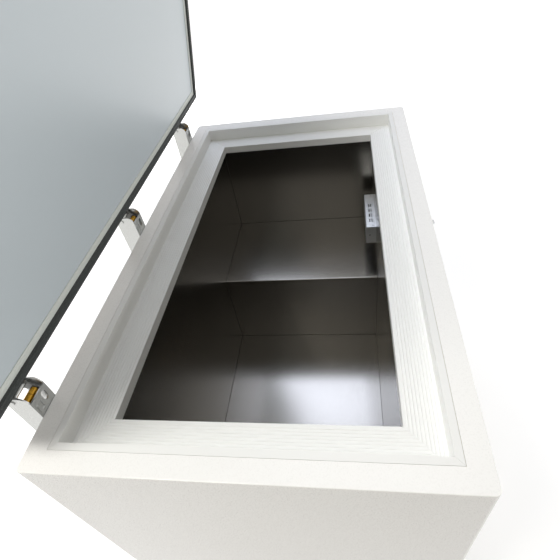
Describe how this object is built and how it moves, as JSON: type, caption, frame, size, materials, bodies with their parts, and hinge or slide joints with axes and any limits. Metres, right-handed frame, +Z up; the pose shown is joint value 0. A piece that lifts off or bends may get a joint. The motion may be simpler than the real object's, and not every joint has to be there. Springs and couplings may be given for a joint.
{
  "type": "chest ultra low temperature freezer",
  "caption": "White chest ultra low temperature freezer with its lid raised on spring hinges, a stepped stainless chamber and a ridged plastic collar.",
  "frame": {"origin": "on the floor under the middle of the cabinet's footprint", "axes": "+Z up, +X towards the machine bay end, -Y towards the front with the control panel and lid handle, +Y towards the hinges"},
  "size_m": [1.386, 0.8997, 1.875],
  "materials": {
    "shell_white": "glossy powder coat",
    "galvanised": "galvanised sheet",
    "foam": "rigid polyurethane foam",
    "stainless": "dark brushed stainless",
    "stainless_bright": "bright folded stainless",
    "copper": "bare copper",
    "collar_pvc": "satin grey-white extruded plastic",
    "frame_black": "black powder coat",
    "compressor_black": "glossy black enamel",
    "rubber_black": "matt rubber",
    "aluminium_fins": "bare aluminium",
    "jacket_black": "closed-cell foam jacket",
    "plastic_grey": "moulded plastic, fine grain",
    "display_dark": "smoked glossy window",
    "key_grey": "soft key cap",
    "plastic_black": "moulded black plastic",
    "hinge_zinc": "bright zinc plate",
    "spring_dark": "oiled spring steel",
    "leaf_dark": "dark grey coated steel",
    "bush_brass": "yellow bush metal",
    "gasket_dark": "soft extruded seal",
    "border_pvc": "light grey-green plastic profile",
    "lid_panel_grey": "glossy blue-grey coated sheet",
    "lock_chrome": "polished chrome",
    "caster_rubber": "moulded tread and hub"
  },
  "bodies": {
    "cabinet": {"case_front": "shell_white", "case_rear": "shell_white", "case_left": "shell_white", "case_right": "shell_white", "end_panel": "shell_white", "front_grille": "shell_white", "rear_grille": "shell_white", "case_bottom": "galvanised", "bay_bulkhead": "galvanised", "foam_body": "foam", "liner": "stainless", "evaporator_coil": "copper", "rim_collar": "collar_pvc", "sensor_guard": "stainless_bright", "sensor_probe": "stainless_bright", "base_rails": "frame_black", "machine_deck": "galvanised", "compressors": "compressor_black", "compressor_grommets": "rubber_black", "condenser": "aluminium_fins", "fan_shroud": "galvanised", "fan_motor": "frame_black", "heat_exchanger": "jacket_black", "refrigerant_lines": "copper", "electrical_box": "plastic_grey", "control_housing": "plastic_grey", "display_window": "display_dark", "cord_gland": "plastic_black", "port_cap": "rubber_black", "hinge_channels": "hinge_zinc", "hinge_pins": "hinge_zinc", "spring_cups": "hinge_zinc", "hinge_springs": "spring_dark", "channel_screws": "hinge_zinc", "lock_keeper": "lock_chrome", "caster_plates": "hinge_zinc"},
    "lid": {"lid_shell": "shell_white", "lid_gasket": "gasket_dark", "lid_border": "border_pvc", "lid_panel": "lid_panel_grey", "lid_foam": "foam", "lid_handle": "plastic_grey", "lock_body": "lock_chrome", "hinge_leaves": "leaf_dark", "hinge_bushes": "bush_brass", "leaf_screws": "hinge_zinc"},
    "lock_hook": {"lock_cylinder": "lock_chrome"},
    "fan": {"fan_wheel": "aluminium_fins"},
    "rocker": {"power_rocker": "plastic_black"},
    "key_1": {"panel_key_1": "key_grey"},
    "key_2": {"panel_key_2": "key_grey"},
    "key_3": {"panel_key_3": "key_grey"},
    "swivel_front_left": {"caster_yoke_front_left": "hinge_zinc"},
    "wheel_front_left": {"caster_wheel_front_left": "caster_rubber"},
    "swivel_front_right": {"caster_yoke_front_right": "hinge_zinc"},
    "wheel_front_right": {"caster_wheel_front_right": "caster_rubber"},
    "swivel_rear_left": {"caster_yoke_rear_left": "hinge_zinc"},
    "wheel_rear_left": {"caster_wheel_rear_left": "caster_rubber"},
    "swivel_rear_right": {"caster_yoke_rear_right": "hinge_zinc"},
    "wheel_rear_right": {"caster_wheel_rear_right": "caster_rubber"}
  },
  "joints": [
    {"name": "lid_hinge", "type": "hinge", "parent": "cabinet", "child": "lid", "pos_m": [0, 0.436, 1.005], "axis": [-1, 0, 0], "range_deg": [-79.3, 6], "stiffness_Nm_per_rad": 75, "springref_deg": 20.63},
    {"name": "lock_turn", "type": "hinge", "parent": "lid", "child": "lock_hook", "pos_m": [0, 0.25534, 1.83183], "axis": [0, 0.1857, -0.9826], "range_deg": [0, 90]},
    {"name": "fan_spin", "type": "hinge", "parent": "cabinet", "child": "fan", "pos_m": [0.503, -0.3, 0.272], "axis": [0, 1, 0], "continuous": true},
    {"name": "rocker_tilt", "type": "hinge", "parent": "cabinet", "child": "rocker", "pos_m": [0.604, -0.416, 0.52], "axis": [1, 0, 0], "range_deg": [0, 16]},
    {"name": "key_1_press", "type": "slide", "parent": "cabinet", "child": "key_1", "axis": [0, 1, 0], "range_m": [0, 0.0015], "stiffness_N_per_m": 600},
    {"name": "key_2_press", "type": "slide", "parent": "cabinet", "child": "key_2", "axis": [0, 1, 0], "range_m": [0, 0.0015], "stiffness_N_per_m": 600},
    {"name": "key_3_press", "type": "slide", "parent": "cabinet", "child": "key_3", "axis": [0, 1, 0], "range_m": [0, 0.0015], "stiffness_N_per_m": 600},
    {"name": "swivel_front_left_turn", "type": "hinge", "parent": "cabinet", "child": "swivel_front_left", "pos_m": [-0.61, -0.35, 0.082], "axis": [0, 0, 1], "continuous": true},
    {"name": "wheel_front_left_roll", "type": "hinge", "parent": "swivel_front_left", "child": "wheel_front_left", "pos_m": [-0.63, -0.35, 0.031], "axis": [0, 1, 0], "continuous": true},
    {"name": "swivel_front_right_turn", "type": "hinge", "parent": "cabinet", "child": "swivel_front_right", "pos_m": [0.61, -0.35, 0.082], "axis": [0, 0, 1], "continuous": true},
    {"name": "wheel_front_right_roll", "type": "hinge", "parent": "swivel_front_right", "child": "wheel_front_right", "pos_m": [0.59, -0.35, 0.031], "axis": [0, 1, 0], "continuous": true},
    {"name": "swivel_rear_left_turn", "type": "hinge", "parent": "cabinet", "child": "swivel_rear_left", "pos_m": [-0.61, 0.35, 0.082], "axis": [0, 0, 1], "continuous": true},
    {"name": "wheel_rear_left_roll", "type": "hinge", "parent": "swivel_rear_left", "child": "wheel_rear_left", "pos_m": [-0.63, 0.35, 0.031], "axis": [0, 1, 0], "continuous": true},
    {"name": "swivel_rear_right_turn", "type": "hinge", "parent": "cabinet", "child": "swivel_rear_right", "pos_m": [0.61, 0.35, 0.082], "axis": [0, 0, 1], "continuous": true},
    {"name": "wheel_rear_right_roll", "type": "hinge", "parent": "swivel_rear_right", "child": "wheel_rear_right", "pos_m": [0.59, 0.35, 0.031], "axis": [0, 1, 0], "continuous": true}
  ]
}
